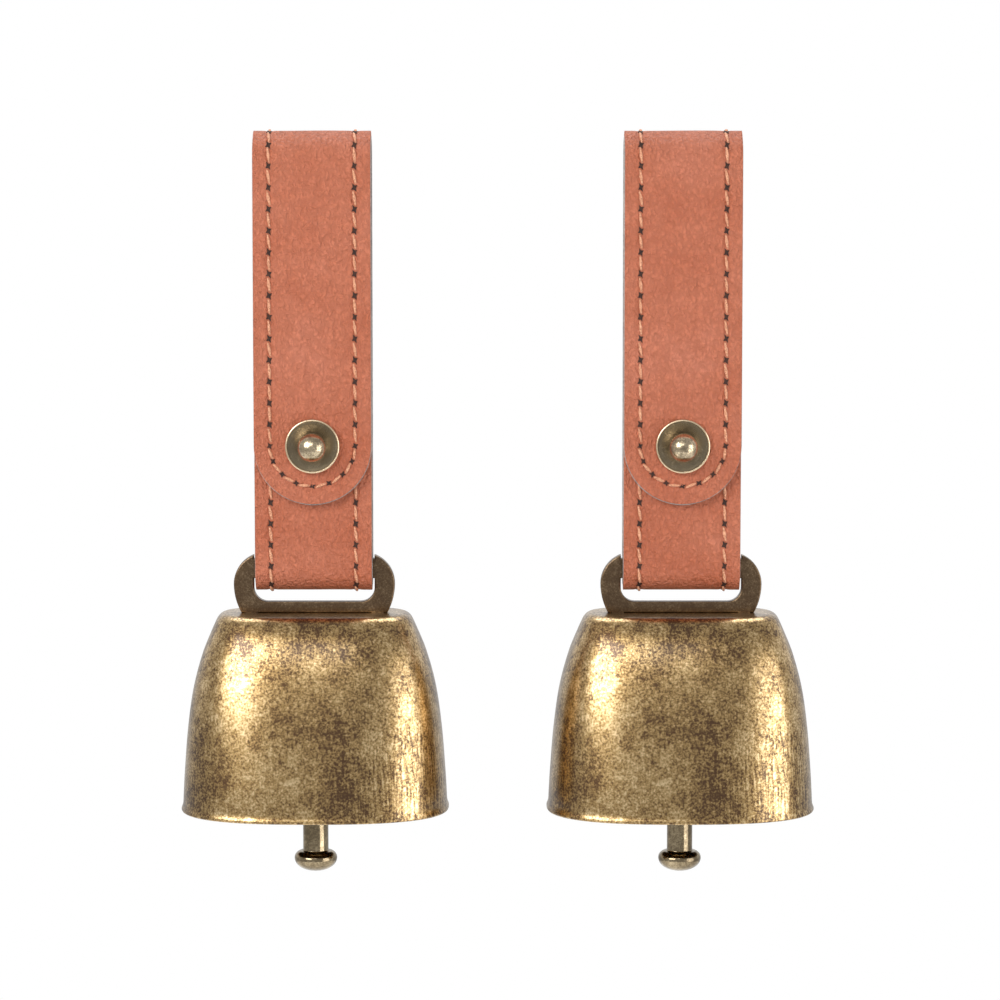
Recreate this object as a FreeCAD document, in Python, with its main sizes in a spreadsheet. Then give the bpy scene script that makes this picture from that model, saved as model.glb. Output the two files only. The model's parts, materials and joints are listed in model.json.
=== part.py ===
import FreeCAD, Part
import math
import os
import Sketcher

# A pair of small strap bells. Each bell is a pressed shell under a flat ring; a lined and stitched
# leather strap is folded through the ring and closed on itself with a screw stud, which leaves a
# loop at the top. Both loops hang on one rail.
# Frame: X along the rail, -Y to the front, +Z up. The origin is on the rail's axis, midway
# between the bells.

doc = FreeCAD.newDocument("strap_bells")
V = FreeCAD.Vector

# ---------------------------------------------------------------- driving dimensions, millimetres
SIZES = [
    ("unit_spacing", 63.3, "distance between the two bells' centre planes"),
    ("strap_width", 20.0, "width of the strap"),
    ("leather_thick", 1.0, "face leather"),
    ("lining_thick", 0.6, "lining on the flesh side"),
    ("top_fold_radius", 3.0, "inside radius of the hanging loop"),
    ("bottom_fold_radius", 2.2, "inside radius of the fold round the ring's bar"),
    ("fold_drop", 70.7, "from the top fold's centre to the ring's bar"),
    ("tongue_drop", 42.0, "from the top fold's centre to the tongue's end"),
    ("stud_drop", 49.0, "from the top fold's centre to the stud"),
    ("flap_blend_radius", 60.0, "bend where the flap lands on the tongue"),
    ("flap_blend_drop", 40.0, "from the top fold's centre to the end of that bend"),
    ("stitch_offset", 7.3, "from the strap's centre line to a row of stitches"),
    ("stitch_pitch", 3.7, "from stitch to stitch"),
    ("stitch_length", 2.4, "thread that shows in one stitch"),
    ("stitch_width", 0.7, "width of the thread"),
    ("stitch_height", 0.3, "how far the thread stands up"),
    ("fit_gap", 0.05, "running gap of the stud, its screw and the ring's tangs"),
    ("stud_disc_radius", 4.65, "stud: outside of the dished disc"),
    ("stud_rim_height", 0.95, "stud: top of the disc's raised rim"),
    ("stud_rim_width", 0.4, "stud: flat top of that rim"),
    ("stud_edge", 0.2, "stud: rounding of the rim's outer edge"),
    ("stud_dish_curve", 14.0, "stud: radius of the dish's section"),
    ("stud_dish_height", 0.45, "stud: lowest part of the dish"),
    ("stud_neck_radius", 1.5, "stud: neck under the ball"),
    ("stud_ball_radius", 2.4, "stud: ball nipple"),
    ("stud_ball_height", 2.77, "stud: centre of the ball above the leather"),
    ("stud_barrel_radius", 2.0, "stud: outside of the threaded barrel"),
    ("stud_barrel_depth", 2.8, "stud: length of the barrel under the disc"),
    ("barrel_hole_radius", 2.15, "hole through flap and tongue for the barrel"),
    ("screw_radius", 1.2, "screw: shank"),
    ("screw_reach", 3.5, "screw: length of the shank"),
    ("screw_head_radius", 4.0, "screw: flat head"),
    ("screw_head_thick", 0.9, "screw: thickness of the head"),
    ("screw_bevel", 0.25, "screw: bevel of the head's edge and the shank's end"),
    ("screw_slot_width", 1.0, "screw: driver slot"),
    ("screw_slot_depth", 0.45, "screw: depth of the driver slot"),
    ("ring_thick", 2.0, "ring: thickness of the plate"),
    ("ring_half_width", 13.9, "ring: half of its widest part"),
    ("ring_ear_radius", 5.4, "ring: outer corner of an ear"),
    ("ring_ear_drop", 2.7, "ring: widest point below the bar's centre"),
    ("ring_bar_height", 3.4, "ring: height of the bar that carries the strap"),
    ("ring_slot_half", 10.4, "ring: half of the slot's width"),
    ("ring_slot_drop", 5.75, "ring: slot's bottom below the bar's centre"),
    ("ring_slot_corner", 2.4, "ring: lower corners of the slot"),
    ("ring_drop", 7.7, "ring: foot below the bar's centre, where it meets the crown"),
    ("ring_foot_half", 12.6, "ring: half of the width at the foot"),
    ("ring_edge", 0.3, "ring: rounding of the plate's edges"),
    ("tang_inner", 9.8, "ring: inner side of a tang"),
    ("tang_outer", 12.0, "ring: outer side of a tang"),
    ("tang_reach", 1.9, "ring: length of a tang below the foot"),
    ("shell_thick", 0.9, "shell: thickness of the sheet"),
    ("shell_corner_top", 7.4, "shell: plan corner radius at the crown"),
    ("shell_corner_rim", 15.0, "shell: plan corner radius at the rim"),
    ("shell_shoulder", 1.0, "shell: rounding of the crown's edge"),
    ("shell_height", 34.2, "shell: crown to rim"),
    ("staple_radius", 0.7, "staple: wire"),
    ("staple_half", 3.0, "staple: half of the distance between its legs"),
    ("staple_bend", 1.4, "staple: bend between leg and bar"),
    ("staple_drop", 4.2, "staple: bar below the crown's top"),
    ("link_wire", 0.6, "link: wire radius"),
    ("link_bend", 1.7, "link: radius of its round ends, on the wire's centre"),
    ("link_slack", 0.3, "link: how far its top bend hangs below the staple's bar"),
    ("link_length", 6.0, "link: from the staple's bar to the wire that carries the clapper"),
    ("eye_half_thick", 0.6, "clapper: half of the flattened end's thickness"),
    ("eye_hole_radius", 1.2, "clapper: hole in the flattened end"),
    ("eye_slack", 0.25, "clapper: how far the hole's centre hangs below the link's wire"),
    ("eye_top", 2.2, "clapper: top above the link's wire"),
    ("eye_length", 4.0, "clapper: flattened part below the link's wire"),
    ("eye_run_out", 1.5, "clapper: slope from the flattened part to the full rod"),
    ("clapper_edge", 0.6, "clapper: rounding of the rod's upper end"),
    ("clapper_radius", 2.2, "clapper: rod"),
    ("clapper_length", 35.15, "clapper: from the link's wire to the bottom"),
    ("bead_radius", 3.7, "clapper: bead at the lower end"),
    ("bead_height", 2.25, "clapper: half of the bead's height"),
    ("bead_foot", 2.3, "clapper: half width of the bead's flatter underside"),
    ("bead_foot_rise", 0.35, "clapper: height of that underside's edge above the bottom"),
    ("bead_foot_curve", 9.0, "clapper: radius of the underside"),
    ("bead_curve", 2.8, "clapper: radius of the bead's sides in section"),
    ("bead_shoulder", 1.8, "clapper: from the bead's widest point up to the rod"),
]

# The shell's outline: depth below the crown's top, half of the width, half of the depth.
SHELL_SECTIONS = [
    (0.0, 16.4, 8.2),
    (3.0, 17.75, 10.3),
    (7.0, 19.35, 12.0),
    (13.0, 20.95, 13.6),
    (20.0, 21.95, 14.9),
    (28.0, 22.6, 16.0),
    (31.5, 22.8, 16.3),
    (34.2, 23.3, 16.8),
]

sheet = doc.addObject("Spreadsheet::Sheet", "Dimensions")
rows = SIZES + [
    entry
    for n, (depth, half_width, half_depth) in enumerate(SHELL_SECTIONS)
    for entry in (
        (f"section_depth_{n}x", depth, f"shell section {n}: depth below the crown's top"),
        (f"section_width_{n}x", half_width, f"shell section {n}: half of the width"),
        (f"section_front_{n}x", half_depth, f"shell section {n}: half of the depth"),
    )
]
for row, (name, number, meaning) in enumerate(rows, 1):
    sheet.set(f"A{row}", name)
    sheet.set(f"B{row}", str(number))
    sheet.setAlias(f"B{row}", name)
    sheet.set(f"C{row}", meaning)
doc.recompute()


class Size:
    """A length with its number and the sheet expression that it comes from."""

    def __init__(self, number, text):
        self.number = number
        self.text = text

    def joined(self, sign, other, number):
        return Size(number, f"({self.text} {sign} {as_size(other).text})")

    def __add__(self, other):
        return self.joined("+", other, self.number + as_size(other).number)

    def __sub__(self, other):
        return self.joined("-", other, self.number - as_size(other).number)

    def __mul__(self, other):
        return self.joined("*", other, self.number * as_size(other).number)

    def __truediv__(self, other):
        return self.joined("/", other, self.number / as_size(other).number)

    def __neg__(self):
        return Size(-self.number, f"(0 - {self.text})")


def as_size(length):
    """A Size as it is, or a plain number as a Size."""
    return length if isinstance(length, Size) else Size(float(length), repr(length))


def root(length):
    """The square root of a Size."""
    return Size(math.sqrt(length.number), f"sqrt({length.text})")


def size(name):
    """A driving dimension from the sheet."""
    return Size(float(sheet.get(name)), f"Dimensions.{name}")


def bind(thing, name, length):
    """Set a property of an object and tie it to the sheet."""
    length = as_size(length)
    thing.setExpression(name, length.text)


def place(thing, x, y, z, turn_about_x=0.0):
    """Put a sub-part where it belongs, turned about X, with its place tied to the sheet."""
    x, y, z = as_size(x), as_size(y), as_size(z)
    turn = FreeCAD.Rotation(V(1, 0, 0), turn_about_x)
    thing.Placement = FreeCAD.Placement(V(x.number, y.number, z.number), turn)
    for axis, length in zip("xyz", (x, y, z)):
        bind(thing, f"Placement.Base.{axis}", length)


# ------------------------------------------------------------------------------- sketch drawing
def sketch_on(body, plane, name, lift=None):
    """A sketch on one of the body's own origin planes, lifted off it where asked."""
    sketch = body.newObject("Sketcher::SketchObject", name)
    support = next(f for f in body.Origin.OriginFeatures if f.Role == plane)
    sketch.AttachmentSupport = (support, [""])
    sketch.MapMode = "FlatFace"
    if lift is not None:
        bind(sketch, "AttachmentOffset.Base.z", lift)
    return sketch


def pin_point(sketch, geometry, end, x, y):
    """Fix one end of a sketched curve at x, y by dimensions tied to the sheet."""
    for kind, axis, length in (("DistanceX", -2, as_size(x)), ("DistanceY", -1, as_size(y))):
        if length.text in ("0", "0.0"):
            sketch.addConstraint(Sketcher.Constraint("PointOnObject", geometry, end, axis))
        else:
            dimension = Sketcher.Constraint(kind, -1, 1, geometry, end, length.number)
            index = sketch.addConstraint(dimension)
            sketch.setExpression(f"Constraints[{index}]", length.text)


def add_arc(sketch, start, end, radius):
    """An arc from start to end; a positive radius turns left on the way, a negative one right.
    Returns the numbers of its first and last ends, because a sketched arc always runs left."""
    chord = end - start
    reach = math.sqrt(radius**2 - (chord.Length / 2) ** 2)
    across = V(-chord.y, chord.x, 0).normalize() * reach
    centre = (start + end) / 2 + (across if radius > 0 else -across)
    first, last = (start, end) if radius > 0 else (end, start)
    angles = [math.atan2(p.y - centre.y, p.x - centre.x) for p in (first, last)]
    circle = Part.Circle(centre, V(0, 0, 1), abs(radius))
    sketch.addGeometry(Part.ArcOfCircle(circle, angles[0], angles[1]), False)
    return (1, 2) if radius > 0 else (2, 1)


def draw(sketch, path, closed=True):
    """Draw an outline through points (x, y); a point (x, y, radius) is reached along an arc."""
    at = [V(as_size(p[0]).number, as_size(p[1]).number, 0) for p in path]
    ends = []
    for n in range(0 if closed else 1, len(path)):
        geometry = sketch.GeometryCount
        if len(path[n]) == 3:
            radius = as_size(path[n][2])
            first, last = add_arc(sketch, at[n - 1], at[n], radius.number)
            index = sketch.addConstraint(Sketcher.Constraint("Radius", geometry, abs(radius.number)))
            sign = "" if radius.number > 0 else "0 - "
            sketch.setExpression(f"Constraints[{index}]", f"{sign}{radius.text}")
        else:
            sketch.addGeometry(Part.LineSegment(at[n - 1], at[n]), False)
            first, last = 1, 2
        ends.append((geometry, first, last))
    for before, after in zip(ends, ends[1:] + ends[:1] if closed else ends[1:]):
        sketch.addConstraint(Sketcher.Constraint("Coincident", before[0], before[2], after[0], after[1]))
    if not closed:
        pin_point(sketch, ends[0][0], ends[0][1], path[0][0], path[0][1])
        path = path[1:]
    for (geometry, _, last), point in zip(ends, path):
        pin_point(sketch, geometry, last, point[0], point[1])


def draw_circle(sketch, x, y, radius):
    """Draw a circle whose centre and radius are tied to the sheet."""
    centre = V(as_size(x).number, as_size(y).number, 0)
    geometry = sketch.GeometryCount
    sketch.addGeometry(Part.Circle(centre, V(0, 0, 1), radius.number), False)
    index = sketch.addConstraint(Sketcher.Constraint("Radius", geometry, radius.number))
    sketch.setExpression(f"Constraints[{index}]", radius.text)
    pin_point(sketch, geometry, 3, x, y)


def rounded_rectangle(half_x, half_y, corner):
    """The points of a rounded rectangle about the origin, one quarter after another."""
    flat_x, flat_y = half_x - corner, half_y - corner
    return [
        (half_x, flat_y),
        (flat_x, half_y, corner),
        (-flat_x, half_y),
        (-half_x, flat_y, corner),
        (-half_x, -flat_y),
        (-flat_x, -half_y, corner),
        (flat_x, -half_y),
        (half_x, -flat_y, corner),
    ]


def new_body(label):
    body = doc.addObject("PartDesign::Body", label)
    body.Label = label
    return body


def turned(body, name, path):
    """Revolve a half outline, radius along X and height along Z, about the body's Z axis."""
    sketch = sketch_on(body, "XZ_Plane", name)
    draw(sketch, path)
    solid = body.newObject("PartDesign::Revolution", f"{name}_turned")
    solid.Profile = sketch
    solid.ReferenceAxis = (sketch, ["V_Axis"])
    solid.Angle = 360.0
    return solid


def pocket(body, name, sketch, both_ways=True):
    """Cut a sketch through everything; the volume has to fall."""
    doc.recompute()
    before = body.Shape.Volume
    cut = body.newObject("PartDesign::Pocket", name)
    cut.Profile = sketch
    cut.Type = "ThroughAll"
    cut.Midplane = both_ways
    doc.recompute()
    if not body.Shape.Volume < before - 1e-6:
        raise RuntimeError(f"{name} cuts nothing")
    return cut


# ---------------------------------------------------------------------------------- leather strap
def ply_curve(offset):
    """Edges of the strap's path in the YZ plane at a distance out from the lining's inner face:
    from the tongue's end down, round the ring's bar, up the back, over the top and down the flap."""
    drop = size("fold_drop").number
    top, bottom = size("top_fold_radius").number, size("bottom_fold_radius").number
    blend = size("flap_blend_radius").number
    blend_drop = size("flap_blend_drop").number
    plies = size("leather_thick").number + size("lining_thick").number
    flap_inner = bottom + plies

    # The back lies on the common tangent of the two folds.
    lean = math.asin((top - bottom) / drop)
    # The flap leaves the top fold so that it runs into the blend arc without a corner.
    centre = V(0, blend - flap_inner, -blend_drop)
    away = math.hypot(centre.y, centre.z)
    tilt = math.atan2(-centre.z, centre.y) - math.acos((blend - top) / away)

    def polar(middle, radius, angle):
        return middle + V(0, math.cos(angle), math.sin(angle)) * radius

    def arc(middle, radius, begin, end):
        points = [polar(middle, radius + offset, begin + (end - begin) * s) for s in (0, 0.5, 1)]
        return Part.Arc(*points).toShape(), points[0], points[2]

    half = math.pi
    folds = [
        arc(V(0, 0, -drop), bottom, half, 2 * half - lean),
        arc(V(0, 0, 0), top, -lean, half - tilt),
        arc(centre, blend, half - tilt, half),
    ]
    tongue_end = V(0, -bottom - offset, -size("tongue_drop").number)
    tip = -size("stud_drop").number - size("strap_width").number / 2
    flap_end = V(0, -flap_inner - offset, tip)
    edges, here = [], tongue_end
    for edge, begin, end in folds:
        edges += [Part.makeLine(here, begin), edge]
        here = end
    return edges + [Part.makeLine(here, flap_end)], tongue_end, flap_end


def cylinder(label, radius, length, x, y, z, turn_about_x=0.0):
    thing = doc.addObject("Part::Cylinder", label)
    bind(thing, "Radius", radius)
    bind(thing, "Height", length)
    place(thing, x, y, z, turn_about_x)
    return thing


def box(label, width, depth, height, x, y, z):
    thing = doc.addObject("Part::Box", label)
    bind(thing, "Length", width)
    bind(thing, "Width", depth)
    bind(thing, "Height", height)
    place(thing, x, y, z)
    return thing


def cut(label, base, tool):
    thing = doc.addObject("Part::Cut", label)
    thing.Base = base
    thing.Tool = tool
    return thing


def strap_ply(label, inner, outer):
    """One layer of the strap, between two distances from the lining's inner face: a band folded
    in the YZ plane, its flap's tip rounded about the stud, with the stud's hole punched."""
    near, tongue_near, flap_near = ply_curve(inner.number)
    far, tongue_far, flap_far = ply_curve(outer.number)
    ends = [Part.makeLine(flap_near, flap_far), Part.makeLine(tongue_far, tongue_near)]
    section = doc.addObject("Part::Feature", f"{label}_section")
    section.Shape = Part.Face(Part.Wire(Part.__sortEdges__(near + far + ends)))
    band = doc.addObject("Part::Extrusion", f"{label}_band")
    band.Base = section
    band.DirMode = "Custom"
    band.Dir = V(1, 0, 0)
    band.Solid = True
    band.Symmetric = True
    bind(band, "LengthFwd", size("strap_width"))

    # What is trimmed off the flap's square end: a block less the round tip.
    plies = size("leather_thick") + size("lining_thick")
    flap_face = -(size("bottom_fold_radius") + plies)
    half = size("strap_width") / 2
    margin = 1.0
    block = box(
        f"{label}_tip_block", half * 2 + 2 * margin, plies + margin, half + margin,
        -half - margin, flap_face - plies - margin, -size("stud_drop") - half - margin,
    )
    tip = cylinder(
        f"{label}_tip_round", half, plies + 3 * margin,
        0, flap_face + margin, -size("stud_drop"), 90.0,
    )
    trim = cut(f"{label}_tip_trim", block, tip)
    trimmed = cut(f"{label}_trimmed", band, trim)
    punch = cylinder(
        f"{label}_punch", size("barrel_hole_radius"), plies * 2 + 2 * margin,
        0, -size("bottom_fold_radius") + margin, -size("stud_drop"), 90.0,
    )
    return cut(label, trimmed, punch)


def strap_lining(label):
    return strap_ply(label, Size(0.0, "0.0"), size("lining_thick"))


def strap_leather(label):
    return strap_ply(label, size("lining_thick"), size("lining_thick") + size("leather_thick"))


def strap_stitching(label):
    """The stitches that show on the leather: two rows along the band, joined in a U round the tip.
    Each is a short bar of thread lying on the leather."""
    plies = size("leather_thick").number + size("lining_thick").number
    row, pitch = size("stitch_offset").number, size("stitch_pitch").number
    length, width = size("stitch_length").number, size("stitch_width").number
    stud = size("stud_drop").number
    bar = Part.makeBox(width, size("stitch_height").number, length, V(-width / 2, 0, -length / 2))

    # One wire along the leather's outside, from the flap's edge on the tongue to the tip's U.
    edges, _, _ = ply_curve(plies)
    wire = Part.Wire(edges[1:-1])
    flap_edge = -stud - math.sqrt((size("strap_width").number / 2) ** 2 - row**2)
    tongue_line = Part.makeLine(V(0, edges[0].Vertexes[0].Y, flap_edge - length), wire.Vertexes[0].Point)
    flap_line = Part.makeLine(wire.Vertexes[-1].Point, V(0, edges[-1].Vertexes[0].Y, -stud))
    path = Part.Wire([tongue_line] + edges[1:-1] + [flap_line])
    stitches = []
    count = round(path.Length / pitch)
    points = path.discretize(Number=2 * count + 1)
    for n in range(1, 2 * count, 2):
        ahead = points[n + 1] - points[n - 1]
        # The bar's own +Y has to point away from the leather.
        turn = FreeCAD.Rotation(V(0, 0, 1), ahead)
        off = V(0, ahead.z, -ahead.y)
        if turn.multVec(V(0, 1, 0)).dot(off) < 0:
            turn = turn * FreeCAD.Rotation(V(0, 0, 1), 180)
        for side in (-row, row):
            stitch = bar.copy()
            stitch.Placement = FreeCAD.Placement(points[n] + V(side, 0, 0), turn)
            stitches.append(stitch)

    front = flap_line.Vertexes[1].Point.y
    around = round(math.pi * row / pitch)
    for n in range(around):
        angle = 180.0 * (n + 0.5) / around
        stitch = bar.copy()
        stitch.rotate(V(), V(0, 0, 1), 180)
        stitch.translate(V(row, 0, 0))
        stitch.rotate(V(), V(0, 1, 0), angle)
        stitch.translate(V(0, front, -stud))
        stitches.append(stitch)
    thread = doc.addObject("Part::Feature", label)
    thread.Shape = Part.makeCompound(stitches)
    return thread


# ------------------------------------------------------------------------------- stud and screw
def closure_stud(label):
    """A turned stud, upright here: a dished disc on the leather, a ball on top and a barrel below
    with a blind threaded hole, drawn at the thread's running size."""
    body = new_body(label)
    disc, rim = size("stud_disc_radius"), size("stud_rim_height")
    dish, neck = size("stud_dish_height"), size("stud_neck_radius")
    ball, ball_height = size("stud_ball_radius"), size("stud_ball_height")
    barrel, depth = size("stud_barrel_radius"), size("stud_barrel_depth")
    hole = size("screw_radius") + size("fit_gap")
    edge = size("stud_edge")
    neck_top = ball_height - root(ball * ball - neck * neck)
    turned(body, f"{label}_outline", [
        (hole, -depth),
        (barrel, -depth),
        (barrel, 0),
        (disc, 0),
        (disc, rim - edge),
        (disc - edge, rim, edge),
        (disc - size("stud_rim_width"), rim),
        (neck, dish, -size("stud_dish_curve")),
        (neck, neck_top),
        (ball, ball_height, ball),
        (0, ball_height + ball, ball),
        (0, dish),
        (hole, dish),
    ])
    return body


def closure_screw(label):
    """The screw that holds the stud from inside the loop: flat slotted head and plain shank."""
    body = new_body(label)
    head, thick = size("screw_head_radius"), size("screw_head_thick")
    shank, reach = size("screw_radius"), size("screw_reach")
    bevel = size("screw_bevel")
    turned(body, f"{label}_outline", [
        (0, -thick),
        (head - bevel, -thick),
        (head, -thick + bevel),
        (head, 0),
        (shank, 0),
        (shank, reach - bevel),
        (shank - bevel, reach),
        (0, reach),
    ])
    slot = sketch_on(body, "XZ_Plane", f"{label}_slot_outline")
    half = size("screw_slot_width") / 2
    floor = -thick + size("screw_slot_depth")
    draw(slot, [(-half, -thick - 1), (half, -thick - 1), (half, floor), (-half, floor)])
    pocket(body, f"{label}_slot", slot)
    return body


# -------------------------------------------------------------------------------- bell and ring
def hanger_ring(label):
    """A flat stamped ring with its origin on the bar's axis. The strap is folded round the bar,
    the lower bar stands on the crown and two tangs go through it."""
    body = new_body(label)
    sketch = sketch_on(body, "XZ_Plane", f"{label}_outline")
    bar, slot = size("ring_bar_height") / 2, size("ring_slot_half")
    wide, ear = size("ring_half_width"), size("ring_ear_radius")
    ear_drop, foot = size("ring_ear_drop"), size("ring_foot_half")
    drop, inner = size("ring_drop"), size("tang_inner")
    outer, reach = size("tang_outer"), size("tang_reach")
    shoulder = slot - (wide - ear)
    ear_top = -ear_drop + root(ear * ear - shoulder * shoulder)
    # The side below the ear is one arc that leaves the widest point upright and ends at the foot.
    inset, fall = wide - foot, drop - ear_drop
    side = (inset * inset + fall * fall) / (inset * 2)
    draw(sketch, [
        (-slot, bar),
        (-slot, ear_top),
        (-wide, -ear_drop, ear),
        (-foot, -drop, side),
        (-outer, -drop),
        (-outer, -drop - reach),
        (-inner, -drop - reach),
        (-inner, -drop),
        (inner, -drop),
        (inner, -drop - reach),
        (outer, -drop - reach),
        (outer, -drop),
        (foot, -drop),
        (wide, -ear_drop, side),
        (slot, ear_top, ear),
        (slot, bar),
    ])
    plate = body.newObject("PartDesign::Pad", f"{label}_plate")
    plate.Profile = sketch
    plate.Midplane = True
    bind(plate, "Length", size("ring_thick"))

    window = sketch_on(body, "XZ_Plane", f"{label}_window_outline")
    floor, corner = size("ring_slot_drop"), size("ring_slot_corner")
    draw(window, [
        (slot, -bar),
        (-slot, -bar),
        (-slot, -floor + corner),
        (-slot + corner, -floor, corner),
        (slot - corner, -floor),
        (slot, -floor + corner, corner),
    ])
    pocket(body, f"{label}_window", window)
    names = []
    for n, edge in enumerate(body.Shape.Edges, 1):
        extent = edge.BoundBox
        on_face = extent.YLength < 1e-6 and abs(abs(extent.YMin) - size("ring_thick").number / 2) < 1e-6
        if on_face and extent.ZMax > -drop.number + 1e-6 and extent.ZMin > -drop.number - 1e-6:
            names.append(f"Edge{n}")
    before = body.Tip
    rounded = body.newObject("PartDesign::Chamfer", f"{label}_edges")
    rounded.Base = (before, names)
    bind(rounded, "Size", size("ring_edge"))
    return body


def shell_loft(body, kind, name, wall, top, bottom):
    """Loft the shell's sections, drawn in by the wall; top and bottom move the two end sections."""
    sketches = []
    last = len(SHELL_SECTIONS) - 1
    for n in range(last + 1):
        depth = size(f"section_depth_{n}x")
        lift = top if n == 0 else (-depth - bottom if n == last else -depth)
        share = depth / size("shell_height")
        spread = size("shell_corner_rim") - size("shell_corner_top")
        corner = size("shell_corner_top") + spread * share - wall
        sketch = sketch_on(body, "XY_Plane", f"{name}_section_{n}", lift)
        half_x, half_y = size(f"section_width_{n}x") - wall, size(f"section_front_{n}x") - wall
        draw(sketch, rounded_rectangle(half_x, half_y, corner))
        sketches.append(sketch)
    loft = body.newObject(kind, name)
    loft.Profile = sketches[0]
    loft.Sections = sketches[1:]
    return loft


def bell_shell(label):
    """A pressed shell with its origin on top of the crown: flat sides, round corners that widen
    downwards, a flared lip, two slots for the ring's tangs and two holes for the staple."""
    body = new_body(label)
    wall = size("shell_thick")
    zero = as_size(0.0)
    outside = shell_loft(body, "PartDesign::AdditiveLoft", f"{label}_outside", zero, zero, zero)
    doc.recompute()
    names = [
        f"Edge{n}" for n, edge in enumerate(body.Shape.Edges, 1)
        if abs(edge.BoundBox.ZMin) < 1e-6 and abs(edge.BoundBox.ZMax) < 1e-6
    ]
    shoulder = body.newObject("PartDesign::Fillet", f"{label}_shoulder")
    shoulder.Base = (outside, names)
    bind(shoulder, "Radius", size("shell_shoulder"))
    doc.recompute()
    full = body.Shape.Volume
    past_rim = as_size(0.5)
    shell_loft(body, "PartDesign::SubtractiveLoft", f"{label}_inside", wall, -wall, past_rim)
    doc.recompute()
    if not body.Shape.Volume < full / 2:
        raise RuntimeError("the shell is not hollow")
    holes = sketch_on(body, "XY_Plane", f"{label}_holes_outline")
    gap = size("fit_gap")
    half = size("ring_thick") / 2 + gap
    for side in (1, -1):
        inner, outer = size("tang_inner") - gap, size("tang_outer") + gap
        left, right = (inner, outer) if side == 1 else (-outer, -inner)
        draw(holes, [(left, -half), (right, -half), (right, half), (left, half)])
        leg = size("staple_half") if side == 1 else -size("staple_half")
        draw_circle(holes, leg, 0, size("staple_radius") + gap)
    pocket(body, f"{label}_holes", holes)
    return body


def clapper_staple(label):
    """A U of wire with its origin on the bar's axis; its legs end flush with the crown's top."""
    body = new_body(label)
    route = sketch_on(body, "XZ_Plane", f"{label}_route")
    half, bend, rise = size("staple_half"), size("staple_bend"), size("staple_drop")
    draw(route, [
        (-half, rise),
        (-half, bend),
        (-half + bend, 0, bend),
        (half - bend, 0),
        (half, bend, bend),
        (half, rise),
    ], closed=False)
    section = sketch_on(body, "XY_Plane", f"{label}_wire", rise)
    draw_circle(section, -half, 0, size("staple_radius"))
    doc.recompute()
    wire = body.newObject("PartDesign::AdditivePipe", f"{label}_bent")
    wire.Profile = section
    wire.Spine = (route, [])
    return body


def clapper_link(label):
    """An oblong wire link in the YZ plane, with its origin on the staple's bar."""
    wire, bend = size("link_wire"), size("link_bend")
    slack, length = size("link_slack"), size("link_length")
    side = length - slack - bend
    parts = []
    for name, height, begin in (("top", -slack, 0.0), ("foot", -slack - side, 180.0)):
        half_ring = doc.addObject("Part::Torus", f"{label}_{name}")
        bind(half_ring, "Radius1", bend)
        bind(half_ring, "Radius2", wire)
        half_ring.Angle3 = 180.0
        turn = FreeCAD.Rotation(V(0, 1, 0), 90) * FreeCAD.Rotation(V(0, 0, 1), 90 + begin)
        half_ring.Placement = FreeCAD.Placement(V(0, 0, height.number), turn)
        bind(half_ring, "Placement.Base.z", height)
        parts.append(half_ring)
    for name, y in (("front", -bend), ("back", bend)):
        parts.append(cylinder(f"{label}_{name}", wire, side, 0, y, -slack - side))
    link = doc.addObject("Part::MultiFuse", label)
    link.Shapes = parts
    link.Refine = True
    return link


def clapper(label):
    """A turned rod with its origin on the link's wire: flattened and pierced at the top, with a
    bead at the lower end."""
    body = new_body(label)
    rod, bead, half = size("clapper_radius"), size("bead_radius"), size("bead_height")
    top, length = size("eye_top"), size("clapper_length")
    middle = -length + half
    curve, edge = size("bead_curve"), size("clapper_edge")
    turned(body, f"{label}_outline", [
        (0, -length),
        (size("bead_foot"), -length + size("bead_foot_rise"), size("bead_foot_curve")),
        (bead, middle, curve),
        (rod, middle + size("bead_shoulder"), curve),
        (rod, top - edge),
        (rod - edge, top, edge),
        (0, top),
    ])
    flats = sketch_on(body, "YZ_Plane", f"{label}_flats_outline")
    thick, eye_end = size("eye_half_thick"), size("eye_length")
    slope_end = -eye_end - size("eye_run_out")
    for side in (1, -1):
        near, full = (thick, rod) if side == 1 else (-thick, -rod)
        far = full + side
        draw(flats, [
            (near, top + 1), (near, -eye_end), (full, slope_end), (far, slope_end), (far, top + 1),
        ])
    pocket(body, f"{label}_flats", flats)
    eye = sketch_on(body, "XZ_Plane", f"{label}_eye_outline")
    draw_circle(eye, 0, -size("eye_slack"), size("eye_hole_radius"))
    pocket(body, f"{label}_eye", eye)
    return body


# -------------------------------------------------------------------------------- the two bells
plies = size("leather_thick") + size("lining_thick")
flap_front = -(size("bottom_fold_radius") + plies * 2)
bar_z = -size("fold_drop")
crown_z = bar_z - size("ring_drop")
staple_z = crown_z - size("staple_drop")
link_z = staple_z - size("link_length")
subparts = []
for side, sign in (("left", -1), ("right", 1)):
    centre = size("unit_spacing") * sign / 2
    stud_z = -size("stud_drop")
    for make, name, y, z, turn in (
        (strap_leather, "strap_leather", 0, 0, 0),
        (strap_lining, "strap_lining", 0, 0, 0),
        (strap_stitching, "strap_stitching", 0, 0, 0),
        (closure_stud, "closure_stud", flap_front - size("fit_gap"), stud_z, 90),
        (closure_screw, "closure_screw", -size("bottom_fold_radius") + size("fit_gap"), stud_z, 90),
        (hanger_ring, "hanger_ring", 0, bar_z, 0),
        (bell_shell, "bell_shell", 0, crown_z, 0),
        (clapper_staple, "clapper_staple", 0, staple_z, 0),
        (clapper_link, "clapper_link", 0, staple_z, 0),
        (clapper, "clapper", 0, link_z, 0),
    ):
        thing = make(f"{side}_{name}")
        doc.recompute()
        place(thing, centre, y, z, turn)
        subparts.append(thing)
doc.recompute()

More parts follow.
